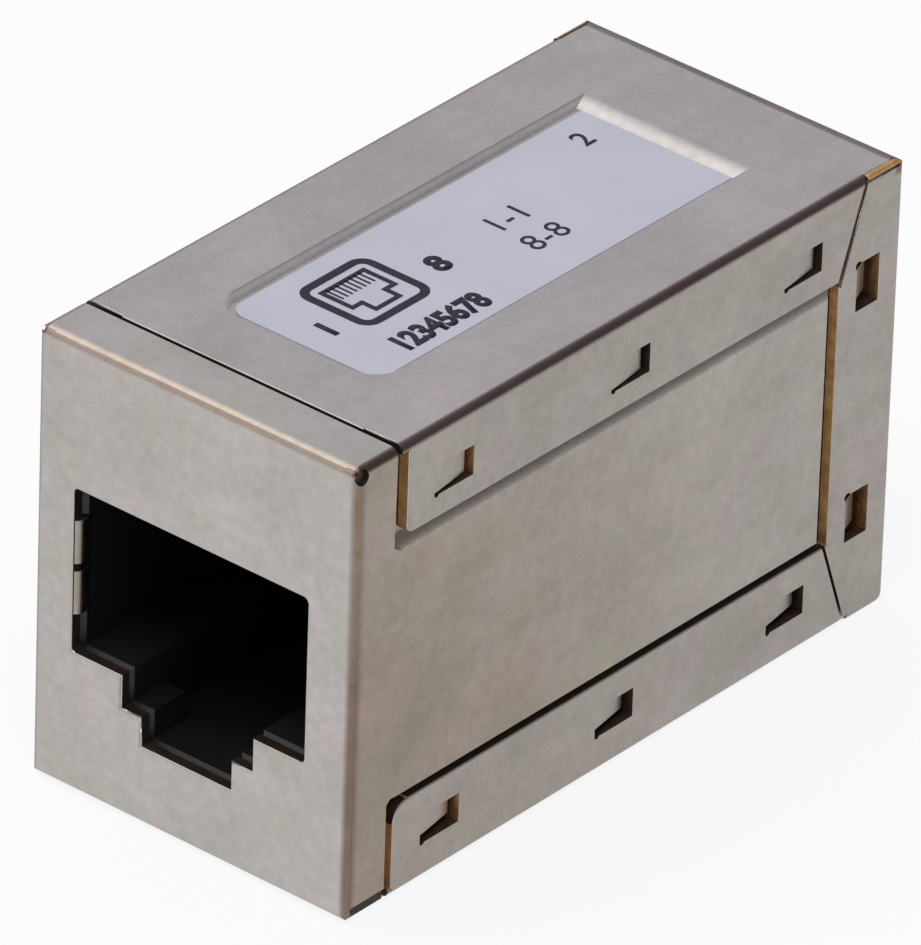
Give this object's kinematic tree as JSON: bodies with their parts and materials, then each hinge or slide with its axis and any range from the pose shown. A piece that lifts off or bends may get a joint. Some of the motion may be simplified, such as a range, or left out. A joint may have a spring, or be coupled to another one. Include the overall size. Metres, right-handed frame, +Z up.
{
  "type": "shielded rj45 inline coupler",
  "caption": "Straight inline coupler with a modular socket at each end, in a folded nickel-plated metal shell with a recessed top label",
  "frame": {"origin": "middle of the footprint, on the surface the coupler rests on", "axes": "+X to the right seen from the front socket, +Y from the front face to the rear face, +Z up"},
  "size_m": [0.0164, 0.0336, 0.0207],
  "materials": {
    "nickel_plated_brass": "satin nickel plating over folded brass sheet, bare brass on the cut edges",
    "label_stock": "semi-matte printed label",
    "black_resin": "moulded black resin",
    "carrier_resin": "moulded dark resin",
    "contact_metal": "gold plating over spring alloy",
    "board_laminate": "green solder mask on glass-epoxy laminate"
  },
  "bodies": {
    "root": {"front_shell": "nickel_plated_brass", "wrap_cover": "nickel_plated_brass", "label": "label_stock", "front_housing": "black_resin", "front_carrier": "carrier_resin", "front_contact_1": "contact_metal", "front_contact_2": "contact_metal", "front_contact_3": "contact_metal", "front_contact_4": "contact_metal", "front_contact_5": "contact_metal", "front_contact_6": "contact_metal", "front_contact_7": "contact_metal", "front_contact_8": "contact_metal", "rear_housing": "black_resin", "rear_carrier": "carrier_resin", "rear_contact_1": "contact_metal", "rear_contact_2": "contact_metal", "rear_contact_3": "contact_metal", "rear_contact_4": "contact_metal", "rear_contact_5": "contact_metal", "rear_contact_6": "contact_metal", "rear_contact_7": "contact_metal", "rear_contact_8": "contact_metal", "circuit_board": "board_laminate"}
  },
  "joints": []
}
